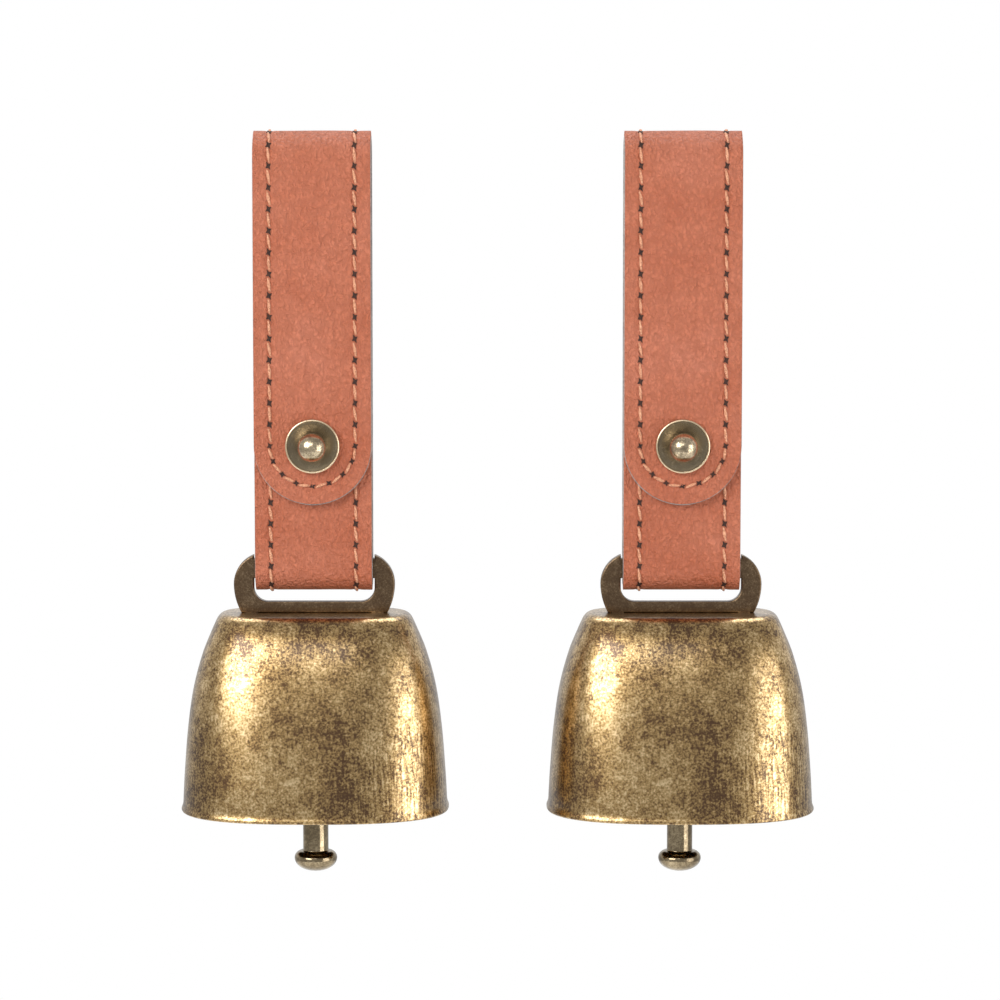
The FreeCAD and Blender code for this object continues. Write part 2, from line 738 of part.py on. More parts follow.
# ----------------------------------------------------------------------------- check and write
for thing in doc.Objects:
    if "Invalid" in thing.State or "Error" in thing.State:
        raise RuntimeError(f"{thing.Label} failed: {thing.State}")
for thing in subparts:
    if thing.Shape.isNull() or not thing.Shape.isValid():
        raise RuntimeError(f"{thing.Label} has no valid shape")
os.makedirs("parts", exist_ok=True)
for thing in subparts:
    thing.Shape.exportStep(f"parts/{thing.Label}.step")
    print(thing.Label, len(thing.Shape.Solids), round(thing.Shape.Volume, 2))
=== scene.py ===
import json
import math

import bmesh
import bpy
from mathutils import Matrix, Vector, noise


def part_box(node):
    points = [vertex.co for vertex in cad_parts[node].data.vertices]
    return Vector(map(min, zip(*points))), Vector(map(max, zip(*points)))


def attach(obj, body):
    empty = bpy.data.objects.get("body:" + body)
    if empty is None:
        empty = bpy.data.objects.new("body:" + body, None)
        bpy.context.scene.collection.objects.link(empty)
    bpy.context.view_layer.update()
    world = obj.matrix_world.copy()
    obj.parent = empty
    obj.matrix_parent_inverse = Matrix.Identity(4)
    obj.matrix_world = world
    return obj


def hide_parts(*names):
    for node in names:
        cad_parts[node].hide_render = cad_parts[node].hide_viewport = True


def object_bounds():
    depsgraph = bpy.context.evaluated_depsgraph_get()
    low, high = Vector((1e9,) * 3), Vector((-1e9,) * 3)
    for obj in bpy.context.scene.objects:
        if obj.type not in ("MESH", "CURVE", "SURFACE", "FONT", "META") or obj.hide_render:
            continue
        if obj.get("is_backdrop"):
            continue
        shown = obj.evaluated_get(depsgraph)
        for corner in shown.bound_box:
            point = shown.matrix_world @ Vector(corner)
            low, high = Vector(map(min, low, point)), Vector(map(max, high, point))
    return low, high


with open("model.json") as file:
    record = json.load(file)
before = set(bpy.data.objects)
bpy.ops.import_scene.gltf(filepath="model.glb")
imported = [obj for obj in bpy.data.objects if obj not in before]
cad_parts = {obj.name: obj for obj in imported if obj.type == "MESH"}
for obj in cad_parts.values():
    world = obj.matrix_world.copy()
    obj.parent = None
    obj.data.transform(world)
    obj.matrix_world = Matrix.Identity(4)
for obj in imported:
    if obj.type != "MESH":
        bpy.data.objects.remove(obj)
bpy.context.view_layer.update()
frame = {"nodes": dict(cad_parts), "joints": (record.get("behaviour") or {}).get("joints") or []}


# --------------------------- strap leather
# One band of tan grain leather, about a millimetre thick, cut with a round tip. It is folded over
# at the top, runs down the back, round the ring's bar and up behind its own flap, which the stud
# holds. A stitched seam presses a shallow groove along both edges and round the tip.

mm = 0.001
sides = ("left", "right")
joint_at = {j["name"]: Vector(j.get("pos_m") or (0, 0, 0)) for j in frame["joints"]}
leather_thick, lining_thick = 1.0 * mm, 0.6 * mm
strap_thick = leather_thick + lining_thick
top_fold, bottom_fold, landing_bend = 3.0 * mm, 2.2 * mm, 60 * mm
tongue_end, landing_end = -42 * mm, -40 * mm
bar_z = joint_at["left_bell_swing"].z
stud_z = joint_at["left_screw_turn"].z
strap_low, strap_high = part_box("left_strap_leather")
half_strap = (strap_high.x - strap_low.x) / 2
seam_row, groove_deep, groove_wide = 7.3 * mm, 0.13 * mm, 0.55 * mm
edge_round, crown_rise = 0.28 * mm, 0.05 * mm
wave_rise, wave_across, wave_along = 0.05 * mm, 160, 90
run_pitch, bend_pitch, tip_steps, across_steps = 0.9 * mm, 0.35 * mm, 30, 56
corner_angle, nothing = math.radians(60), 1e-7


def strap_centre(side):
    low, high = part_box(f"{side}_strap_leather")
    return (low.x + high.x) / 2


def strap_path():
    """The band's course in the YZ plane as straight runs and bends, from the tongue's end to the
    flap's tip: ("run", start, end) on the inner face, ("bend", centre, radius, from, to)."""
    lean = math.asin((top_fold - bottom_fold) / -bar_z)
    flap_y = bottom_fold + strap_thick
    landing = Vector((landing_bend - flap_y, landing_end))
    tilt = math.atan2(-landing.y, landing.x) - math.acos((landing_bend - top_fold) / landing.length)
    bends = (
        ("bend", Vector((0, bar_z)), bottom_fold, math.pi, 2 * math.pi - lean),
        ("bend", Vector((0, 0)), top_fold, -lean, math.pi - tilt),
        ("bend", landing, landing_bend, math.pi - tilt, math.pi),
    )
    course, here = [], Vector((-bottom_fold, tongue_end))
    for bend in bends:
        _, centre, radius, start, end = bend
        course.append(("run", here, centre + radius * Vector((math.cos(start), math.sin(start)))))
        course.append(bend)
        here = centre + radius * Vector((math.cos(end), math.sin(end)))
    course.append(("run", here, Vector((-flap_y, stud_z - half_strap))))
    return course


def step_length(step):
    """Length of a run or bend, measured on the leather's outer face."""
    if step[0] == "run":
        return (step[2] - step[1]).length
    return (step[2] + strap_thick) * (step[4] - step[3])


strap_course = strap_path()
strap_length = sum(step_length(step) for step in strap_course)
tip_start = strap_length - half_strap


def on_strap(along, off):
    """Place (y, z) at a length along the band and a height off its inner face, with the way along
    and the way out there."""
    for step in strap_course:
        length = step_length(step)
        if along <= length or step is strap_course[-1]:
            break
        along -= length
    if step[0] == "run":
        way = (step[2] - step[1]).normalized()
        out = Vector((way.y, -way.x))
        return step[1] + way * along + out * off, way, out
    _, centre, radius, start, end = step
    angle = start + (end - start) * along / length
    out = Vector((math.cos(angle), math.sin(angle)))
    return centre + out * (radius + off), Vector((-out.y, out.x)), out


def band_rows():
    """Lengths along the band with the half width there, closer together in the bends and closing
    to nothing round the tip."""
    rows, done = [], 0.0
    for step in strap_course:
        length = step_length(step)
        if step is strap_course[-1]:
            length -= half_strap
        pitch = run_pitch if step[0] == "run" else bend_pitch
        count = max(2, round(length / pitch))
        rows += [(done + length * k / count, half_strap) for k in range(count)]
        done += length
    for k in range(tip_steps + 1):
        turn = math.pi / 2 * k / tip_steps
        rows.append((done + half_strap * math.sin(turn), half_strap * math.cos(turn)))
    return rows


def face_outwards(shape):
    bmesh.ops.recalc_face_normals(shape, faces=shape.faces[:])


def thickened(shape, way):
    """Give an open sheet its thickness: copy its faces along a vector and wall the gap."""
    copied = bmesh.ops.extrude_face_region(shape, geom=shape.faces[:])["geom"]
    moved = [v for v in copied if isinstance(v, bmesh.types.BMVert)]
    bmesh.ops.translate(shape, verts=moved, vec=way)
    face_outwards(shape)


def rounded(shape, edges, offset, segments):
    bmesh.ops.bevel(
        shape, geom=edges, offset=offset, offset_type="OFFSET", segments=segments, profile=0.5,
        affect="EDGES", clamp_overlap=True,
    )


def at_corner(edge):
    return len(edge.link_faces) == 2 and edge.calc_face_angle(0) > corner_angle


def flat_band(thick, proud=0.0, end_proud=0.0):
    """The band lying flat, X across and Y along it: a plate with a rounded edge, let out by proud
    along its sides and by end_proud at the tip."""
    shape = bmesh.new()
    lines = []
    for along, half in band_rows():
        if half < nothing:
            lines.append([shape.verts.new((0, along + end_proud, 0))])
            continue
        tipped = 1 - half / half_strap
        half *= 1 + (proud + (end_proud - proud) * min(1.0, 3 * tipped)) / half_strap
        along += end_proud * tipped
        spots = [half * (2 * k / across_steps - 1) for k in range(across_steps + 1)]
        lines.append([shape.verts.new((x, along, 0)) for x in spots])
    for low, high in zip(lines, lines[1:]):
        for k in range(across_steps):
            if len(high) == 1:
                shape.faces.new((low[k], low[k + 1], high[0]))
            else:
                shape.faces.new((low[k], low[k + 1], high[k + 1], high[k]))
    thickened(shape, (0, 0, thick))
    rounded(shape, [edge for edge in shape.edges if at_corner(edge)], min(edge_round, thick * 0.3), 3)
    return shape


def bend_band(shape, lowest, centre_x, surface=None):
    """Fold a flat band into its course, lowest being its under side's height off the inner face."""
    for vert in shape.verts:
        x, along, up = vert.co
        if surface:
            up = surface(x, along, up)
        place, _, _ = on_strap(along, lowest + up)
        vert.co = (centre_x + x, place.x, place.y)


def placed(name, data):
    """An object of some data, put in the scene at the origin."""
    thing = bpy.data.objects.new(name, data)
    bpy.context.scene.collection.objects.link(thing)
    return thing


def made_piece(name, shape, smooth=True):
    """A mesh object from a bmesh, shaded smooth unless asked not to be."""
    mesh = bpy.data.meshes.new(name)
    shape.to_mesh(mesh)
    shape.free()
    if smooth:
        mesh.shade_smooth()
    return placed(name, mesh)


def seam_distance(x, along):
    """How far a point of the flat band is from the line of stitches."""
    if along > tip_start:
        return abs(math.hypot(x, along - tip_start) - seam_row)
    return abs(abs(x) - seam_row)


def leather_surface(x, along, up):
    """The outer face sinks along the seam and is a little crowned and uneven elsewhere."""
    share = max(0.0, up / leather_thick)
    groove = groove_deep * math.exp(-((seam_distance(x, along) / groove_wide) ** 2))
    wave = noise.noise(Vector((x * wave_across, along * wave_along, 3.0))) * wave_rise
    return up - share * (groove + crown_rise - wave)


def finished(piece, material, body, slot, *nodes):
    """Give a piece its material and say which body and CAD nodes it belongs to. The slot is not used."""
    piece.data.materials.clear()
    piece.data.materials.append(material)
    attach(piece, body)
    if nodes:
        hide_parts(*nodes)


def give(tree, node, values):
    """Set a node's inputs: each value is a plain one, or a socket to link from."""
    for name, value in values.items():
        if isinstance(value, bpy.types.NodeSocket):
            tree.links.new(value, node.inputs[name])
        else:
            node.inputs[name].default_value = value


def add(tree, kind, values=None, **settings):
    """Add a node, set its properties, then its inputs."""
    node = tree.nodes.new(kind)
    for name, value in settings.items():
        setattr(node, name, value)
    give(tree, node, values or {})
    return node


def new_material(name):
    """A material whose tree holds only a Principled shader and the output."""
    material = bpy.data.materials.new(name)
    material.use_nodes = True
    tree = material.node_tree
    tree.nodes.clear()
    shader = tree.nodes.new("ShaderNodeBsdfPrincipled")
    add(tree, "ShaderNodeOutputMaterial", {"Surface": shader.outputs["BSDF"]})
    return material, tree, shader


def ramp(tree, factor, stops):
    """A colour ramp over a factor, from (position, colour) stops."""
    node = add(tree, "ShaderNodeValToRGB", {"Fac": factor})
    elements = node.color_ramp.elements
    while len(elements) < len(stops):
        elements.new(0.5)
    for element, (position, colour) in zip(elements, stops):
        element.position = position
        element.color = (*colour, 1) if len(colour) == 3 else colour
    return node.outputs["Color"]


def maths(tree, operation, first, second=0.0, third=0.0):
    node = add(tree, "ShaderNodeMath", {0: first, 1: second, 2: third}, operation=operation)
    return node.outputs[0]


def blend_colours(tree, factor, first, second):
    return add(tree, "ShaderNodeMix", {0: factor, 6: first, 7: second}, data_type="RGBA").outputs[2]


def ranged(tree, value, low, high, at_low=0.0, at_high=1.0, way="LINEAR"):
    """A value mapped from low and high to at_low and at_high, and held beyond them."""
    return add(tree, "ShaderNodeMapRange", {
        "Value": value, "From Min": low, "From Max": high, "To Min": at_low, "To Max": at_high,
    }, interpolation_type=way).outputs[0]


def bump(tree, height, strength, distance):
    return add(tree, "ShaderNodeBump", {
        "Height": height, "Strength": strength, "Distance": distance,
    }).outputs[0]


def fine_noise(tree, place, scale, detail, roughness=0.5):
    return add(tree, "ShaderNodeTexNoise", {
        "Vector": place, "Scale": scale, "Detail": detail, "Roughness": roughness,
    }).outputs


def object_place(tree):
    return add(tree, "ShaderNodeTexCoord").outputs["Object"]


def tan_leather():
    """Dyed grain leather: small uneven pebbles between creases, pores, a cloudy dye, and painted shade
    darkening the creases and pores.
    """
    material, tree, shader = new_material("tan_leather")
    place = object_place(tree)
    sway = fine_noise(tree, place, 700.0, 2.0)["Color"]
    bent = add(tree, "ShaderNodeVectorMath", {0: sway, 1: (0.9 * mm,) * 3}, operation="MULTIPLY")
    moved = add(tree, "ShaderNodeVectorMath", {0: place, 1: bent.outputs[0]}, operation="ADD").outputs[0]
    drawn = add(tree, "ShaderNodeMapping", {"Vector": moved, "Scale": (1.0, 1.0, 0.62)}).outputs[0]
    pebble = add(tree, "ShaderNodeTexVoronoi", {"Vector": drawn, "Scale": 1900.0}, feature="F1")
    crease = fine_noise(tree, drawn, 1200.0, 4.0, 0.75)["Fac"]
    pore = fine_noise(tree, place, 5200.0, 2.0)["Fac"]
    cloud = fine_noise(tree, place, 95.0, 4.0, 0.55)["Fac"]
    small = maths(tree, "SUBTRACT", 1.0, pebble.outputs["Distance"])
    height = maths(tree, "MULTIPLY_ADD", crease, 1.5, maths(tree, "MULTIPLY", small, 0.7))
    height = maths(tree, "MULTIPLY_ADD", pore, 0.3, height)
    dye = ramp(tree, cloud, (
        (0.30, (0.56, 0.150, 0.068)), (0.52, (0.62, 0.186, 0.094)), (0.74, (0.68, 0.226, 0.130)),
    ))
    # Painted shade: the low creases and pores are darkened towards a deep brown.
    crease_shade = ranged(tree, height, 1.15, 1.65, 0.42, 0.0)
    give(tree, shader, {
        "Base Color": blend_colours(tree, crease_shade, dye, (0.27, 0.062, 0.024, 1)),
        "Roughness": ranged(tree, cloud, 0.0, 1.0, 0.40, 0.56),
        "Normal": bump(tree, height, 1.0, 0.5 * mm),
    })
    return material


leather = tan_leather()
for side in sides:
    band = flat_band(leather_thick)
    bend_band(band, lining_thick, strap_centre(side), leather_surface)
    piece = made_piece(f"{side}_strap_leather_face", band)
    finished(piece, leather, "straps", "tan_leather", f"{side}_strap_leather")


# ---------------------------- strap lining
# A thin grey microfibre sheet glued to the leather's flesh side before the band is cut. Its edge
# frays out a hair's breadth past the leather and shows as a pale line round the flap.

lining_proud, tip_proud = 0.10 * mm, 0.30 * mm


def grey_lining():
    """Brushed microfibre: a soft fuzz of fine fibres with pale and dark flecks."""
    material, tree, shader = new_material("grey_lining")
    place = object_place(tree)
    fuzz = fine_noise(tree, place, 4200.0, 3.0)["Fac"]
    patch = fine_noise(tree, place, 600.0, 2.0)["Fac"]
    shade = maths(tree, "MULTIPLY_ADD", fuzz, 0.6, maths(tree, "MULTIPLY", patch, 0.4))
    colour = ramp(tree, shade, (
        (0.35, (0.25, 0.23, 0.22)), (0.55, (0.42, 0.38, 0.36)), (0.72, (0.64, 0.56, 0.50)),
    ))
    raised = bump(tree, fuzz, 0.7, 0.08 * mm)
    give(tree, shader, {"Base Color": colour, "Roughness": 0.95, "Sheen Weight": 0.3, "Normal": raised})
    return material


lining = grey_lining()
for side in sides:
    band = flat_band(lining_thick, lining_proud, tip_proud)
    bend_band(band, 0.0, strap_centre(side))
    piece = made_piece(f"{side}_strap_lining_sheet", band)
    finished(piece, lining, "straps", "grey_lining", f"{side}_strap_lining")


# ------------------------------- stitching
# A waxed polyester thread, two strands twisted, sewn along both edges and round the tip through
# slanted slits that an awl has cut. Each stitch dips into the slit at both of its ends.

stitch_pitch, tip_pitch, stitch_shown = 3.65 * mm, 2.85 * mm, 2.75 * mm
thread_wide, thread_high = 0.235 * mm, 0.24 * mm
strand_sides, stitch_steps, strand_turns, strand_lobe = 8, 8, 0.9, 0.20
slit_reach, slit_waist, slit_deep, slit_narrow = 0.84 * mm, 0.38 * mm, 0.10 * mm, 0.72
slit_lip, slit_dish, slit_corners = 0.09 * mm, 0.03 * mm, 8
tip_row, tongue_margin = 6.9 * mm, 0.6 * mm
seam_height = strap_thick - 0.15 * mm


def seam_places():
    """Where the needle goes: (across, along, pitch there) at each half pitch, up one side from the
    flap's edge on the tongue, round the tip in closer stitches, and back."""
    drop = math.sqrt(half_strap**2 - seam_row**2)
    start = tongue_end - (stud_z - drop) - tongue_margin
    count = round((tip_start - start) / stitch_pitch)
    pitch = (tip_start - start) / count
    side = [(-seam_row, start + pitch * k / 2, pitch) for k in range(2 * count)]
    count = round(math.pi * seam_row / tip_pitch)
    tip = []
    for k in range(2 * count + 1):
        angle = math.pi * k / (2 * count)
        across, along = -seam_row * math.cos(angle), tip_start + tip_row * math.sin(angle)
        tip.append((across, along, math.pi * seam_row / count))
    return side + tip + [(seam_row, along, pitch) for _, along, pitch in reversed(side)]


def seam_line(name, centre_x):
    """Edges from place to place, with the way out of the leather, the way along the seam and the
    share of a full stitch kept at each."""
    places, outs, ways, shares = [], [], [], []
    for across, along, pitch in seam_places():
        place, way, out = on_strap(along, seam_height)
        places.append((centre_x + across, place.x, place.y))
        outs.append((0.0, out.x, out.y))
        heading = Vector((0.0, way.x, way.y))
        if along > tip_start:
            turn = math.atan2(along - tip_start, -across)
            heading = Vector((math.sin(turn), 0, 0)) + heading * math.cos(turn)
        elif across > 0:
            heading = -heading
        ways.append(tuple(heading))
        shares.append(pitch / stitch_pitch)
    mesh = bpy.data.meshes.new(name)
    mesh.from_pydata(places, [(k, k + 1) for k in range(len(places) - 1)], [])
    for key, values in (("out", outs), ("way", ways)):
        held = mesh.attributes.new(key, "FLOAT_VECTOR", "POINT")
        held.data.foreach_set("vector", [value for row in values for value in row])
    mesh.attributes.new("share", "FLOAT", "POINT").data.foreach_set("value", shares)
    return placed(name, mesh)


def bridge_rings(shape, low, high):
    """Faces between two rings of vertices, either of which may be a single pole."""
    for n in range(max(len(low), len(high))):
        below = [low[n], low[(n + 1) % len(low)]] if len(low) > 1 else [low[0]]
        above = [high[(n + 1) % len(high)], high[n]] if len(high) > 1 else [high[0]]
        shape.faces.new(below + above)


def thread_stitch():
    """One stitch along Y with Z out of the leather: two strands laid round each other, so the
    outline is a figure of eight that turns along the stitch, arched over the leather."""
    shape = bmesh.new()
    rings = []
    for k in range(stitch_steps + 1):
        share = 2 * k / stitch_steps - 1
        slim = math.sqrt(max(0.05, 1 - share**4))
        lift = thread_high * (0.35 - 1.15 * share**4)
        ring = []
        for n in range(strand_sides):
            angle = 2 * math.pi * n / strand_sides
            lobe = 1 + strand_lobe * math.cos(2 * angle - 2 * math.pi * strand_turns * share)
            ring.append(shape.verts.new((
                thread_wide * slim * lobe * math.cos(angle), share * stitch_shown / 2,
                lift + thread_high * slim * lobe * math.sin(angle),
            )))
        rings.append(ring)
    for low, high in zip(rings, rings[1:]):
        bridge_rings(shape, low, high)
    shape.faces.new(rings[0][::-1])
    shape.faces.new(rings[-1])
    face_outwards(shape)
    return made_piece("stitch_pattern", shape)


def awl_slit():
    """The mouth of one hole: a four-pointed star, pulled out on the slant, dished in the middle."""
    shape = bmesh.new()
    rims = []
    for height in (slit_lip, -slit_deep):
        ring = []
        for n in range(slit_corners):
            angle = 2 * math.pi * (n + 0.5) / slit_corners
            reach = (slit_reach, slit_waist)[n % 2]
            ring.append(shape.verts.new((
                reach * slit_narrow * math.cos(angle), reach * math.sin(angle), height,
            )))
        rims.append(ring)
    top, bottom = shape.verts.new((0, 0, slit_dish)), shape.verts.new((0, 0, -slit_deep))
    for n in range(slit_corners):
        after = (n + 1) % slit_corners
        shape.faces.new((rims[0][n], rims[0][after], top))
        shape.faces.new((rims[1][after], rims[1][n], bottom))
        shape.faces.new((rims[1][n], rims[1][after], rims[0][after], rims[0][n]))
    face_outwards(shape)
    return made_piece("slit_pattern", shape, smooth=False)


def new_inputs(tree, *rows):
    """Inputs of a node group from (name, kind, default) rows. Returns a modifier's key for each."""
    called = {}
    for name, kind, value in rows:
        socket = tree.interface.new_socket(name, in_out="INPUT", socket_type=f"NodeSocket{kind}")
        if value is not None:
            socket.default_value = value
        called[name] = socket.identifier
    return called


def sewing_tree():
    """Puts a slit at each even place of the seam and a stitch at each odd one, its Z out of the
    leather and its Y along the seam, a little askew."""
    tree = bpy.data.node_groups.new("sew_along_seam", "GeometryNodeTree")
    called = new_inputs(
        tree, ("Seam", "Geometry", None), ("Stitch", "Object", None), ("Slit", "Object", None),
        ("Thread", "Material", None), ("Hole", "Material", None), ("Slant", "Float", math.radians(8)),
        ("Unevenness", "Float", 0.07), ("Seed", "Int", 7),
    )
    tree.interface.new_socket("Sewing", in_out="OUTPUT", socket_type="NodeSocketGeometry")
    given = tree.nodes.new("NodeGroupInput").outputs
    points = add(tree, "GeometryNodeMeshToPoints", {"Mesh": given["Seam"]}).outputs[0]
    held = {}
    for name, kind in (("out", "FLOAT_VECTOR"), ("way", "FLOAT_VECTOR"), ("share", "FLOAT")):
        node = add(tree, "GeometryNodeInputNamedAttribute", {"Name": name}, data_type=kind)
        held[name] = node.outputs["Attribute"]
    facing = add(
        tree, "FunctionNodeAxesToRotation", {0: held["out"], 1: held["way"]},
        primary_axis="Z", secondary_axis="Y",
    ).outputs[0]
    at = add(tree, "GeometryNodeInputIndex").outputs[0]
    odd = maths(tree, "MODULO", at, 2.0)
    spread = add(tree, "FunctionNodeRandomValue", {
        0: (-1, -1, -1), 1: (1, 1, 1), "Seed": given["Seed"],
    }, data_type="FLOAT_VECTOR")
    loose = add(tree, "ShaderNodeSeparateXYZ", {0: spread.outputs[0]}).outputs
    askew = maths(tree, "MULTIPLY_ADD", loose["X"], given["Unevenness"], given["Slant"])
    turned = add(tree, "ShaderNodeCombineXYZ", {"Z": askew}).outputs[0]
    turning = add(tree, "FunctionNodeEulerToRotation", {0: turned}).outputs[0]
    rotation = add(
        tree, "FunctionNodeRotateRotation", {0: facing, 1: turning}, rotation_space="LOCAL",
    ).outputs[0]
    wide = maths(tree, "MULTIPLY_ADD", loose["Y"], given["Unevenness"], 1.0)
    size = add(tree, "ShaderNodeCombineXYZ", {"X": wide, "Y": held["share"], "Z": 1.0}).outputs[0]
    joined = tree.nodes.new("GeometryNodeJoinGeometry")
    for pattern, material, chosen in (
        ("Slit", "Hole", maths(tree, "SUBTRACT", 1.0, odd)), ("Stitch", "Thread", odd),
    ):
        source = add(tree, "GeometryNodeObjectInfo", {"Object": given[pattern]})
        laid = add(tree, "GeometryNodeInstanceOnPoints", {
            "Points": points, "Selection": chosen, "Instance": source.outputs["Geometry"],
            "Rotation": rotation, "Scale": size,
        })
        real = add(tree, "GeometryNodeRealizeInstances", {0: laid.outputs[0]})
        coated = add(tree, "GeometryNodeSetMaterial", {
            "Geometry": real.outputs[0], "Material": given[material],
        })
        tree.links.new(coated.outputs[0], joined.inputs[0])
    add(tree, "NodeGroupOutput", {"Sewing": joined.outputs[0]})
    return tree, called


def peach_thread():
    """Waxed polyester, speckled with fine fibres."""
    material, tree, shader = new_material("peach_thread")
    fibre = fine_noise(tree, object_place(tree), 5200.0, 2.0)["Fac"]
    colour = ramp(tree, fibre, (
        (0.30, (0.34, 0.11, 0.05)), (0.5, (0.66, 0.29, 0.155)), (0.7, (0.80, 0.44, 0.27)),
    ))
    raised = bump(tree, fibre, 0.5, 0.06 * mm)
    give(tree, shader, {"Base Color": colour, "Roughness": 0.5, "Sheen Weight": 0.2, "Normal": raised})
    return material


def slit_shade():
    """Painted shadow inside an awl hole, over the dark raw leather there."""
    material, tree, shader = new_material("slit_shade")
    fleck = fine_noise(tree, object_place(tree), 3800.0, 2.0)["Fac"]
    # Near black: painted shadow in the hole together with the raw leather's own dark.
    colour = ramp(tree, fleck, ((0.35, (0.012, 0.004, 0.002)), (0.65, (0.060, 0.020, 0.010))))
    give(tree, shader, {"Base Color": colour, "Roughness": 0.8})
    return material


def applied(piece):
    """The evaluated mesh of a piece in place of its own, with its modifiers gone."""
    depsgraph = bpy.context.evaluated_depsgraph_get()
    mesh = bpy.data.meshes.new_from_object(piece.evaluated_get(depsgraph))
    piece.modifiers.clear()
    piece.data = mesh
    mesh.name = piece.name


sewing, sewing_inputs = sewing_tree()
thread, slit_dark = peach_thread(), slit_shade()
stitch, slit = thread_stitch(), awl_slit()
for side in sides:
    line = seam_line(f"{side}_strap_seam", strap_centre(side))
    modifier = line.modifiers.new("sewing", "NODES")
    modifier.node_group = sewing
    for name, value in (("Stitch", stitch), ("Slit", slit), ("Thread", thread), ("Hole", slit_dark)):
        modifier[sewing_inputs[name]] = value
    applied(line)
    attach(line, "straps")
    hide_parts(f"{side}_strap_stitching")
for pattern in (stitch, slit):
    bpy.data.objects.remove(pattern)


# ---------------------------- closure stud
# A ball stud turned from brass and dipped to an antique finish: a ball on a short neck over a
# dished disc with a raised rim, and behind it a barrel that the screw goes up into.

stud_disc, stud_rim, stud_dish, stud_bead = 4.65 * mm, 0.95 * mm, 0.45 * mm, 0.42 * mm
stud_neck, neck_flare, stud_ball, stud_ball_up = 1.5 * mm, 0.3 * mm, 2.5 * mm, 2.67 * mm
stud_barrel, stud_barrel_deep, stud_bore = 2.0 * mm, 2.8 * mm, 1.25 * mm
barrel_round, disc_round, under_rim, in_from_bead = 0.2 * mm, 0.3 * mm, 0.16 * mm, 0.02 * mm
dish_steps, bore_floor = 14, 0.1 * mm
rim_worn, ball_worn, rim_reach, ball_reach = 1.0, 0.3, 0.38 * mm, 1.2 * mm


def arc_points(centre, radius, start, end, steps):
    """Points on a circular arc in a lathe outline, angles in degrees from the outline's radius."""
    angles = [math.radians(start + (end - start) * k / steps) for k in range(steps + 1)]
    return [(centre[0] + radius * math.cos(a), centre[1] + radius * math.sin(a)) for a in angles]


def turned_shape(outline, around):
    """Turn a closed (radius, height) outline round Z. A radius of nothing becomes a pole."""
    shape = bmesh.new()
    rings = []
    for radius, height in outline:
        if radius < nothing:
            rings.append([shape.verts.new((0, 0, height))])
            continue
        angles = [2 * math.pi * n / around for n in range(around)]
        rings.append([
            shape.verts.new((radius * math.cos(a), radius * math.sin(a), height)) for a in angles
        ])
    closing = [(rings[-1], rings[0])] if len(rings[0]) > 1 else []
    for low, high in list(zip(rings, rings[1:])) + closing:
        if len(low) > 1 or len(high) > 1:
            bridge_rings(shape, low, high)
    face_outwards(shape)
    return shape


def keep_corners(piece, degrees=38):
    """Smooth shading that stays sharp over the turned corners."""
    piece.data.set_sharp_from_angle(angle=math.radians(degrees))
    return piece


def stud_outline():
    neck_top = stud_ball_up - math.sqrt(stud_ball**2 - stud_neck**2)
    neck_angle = math.degrees(math.atan2(neck_top - stud_ball_up, stud_neck))
    bead_at = (stud_disc - stud_bead / 2, stud_rim - stud_bead / 2)
    outline = [(stud_bore, -stud_barrel_deep)]
    barrel_end = (stud_barrel - barrel_round, -stud_barrel_deep + barrel_round)
    outline += arc_points(barrel_end, barrel_round, -90, 0, 4)
    outline += [(stud_barrel, 0), (stud_disc - disc_round, 0)]
    outline += arc_points((stud_disc - disc_round, disc_round), disc_round, -80, 0, 5)
    outline += arc_points(bead_at, stud_bead / 2, 0, 165, 10)
    dish_from, dish_to = stud_disc - stud_bead - in_from_bead, stud_neck + neck_flare
    for k in range(dish_steps + 1):
        share = k / dish_steps
        radius = dish_from + (dish_to - dish_from) * share
        sunk = (stud_rim - under_rim - stud_dish) * (1 - share) ** 1.7
        outline.append((radius, stud_dish + sunk))
    flare_at = (stud_neck + neck_flare, stud_dish + neck_flare)
    outline += arc_points(flare_at, neck_flare, 270, 180, 8)[1:]
    outline += arc_points((0, stud_ball_up), stud_ball, neck_angle, 90, 26)
    return outline + [(0, stud_dish - bore_floor), (stud_bore, stud_dish - bore_floor)]


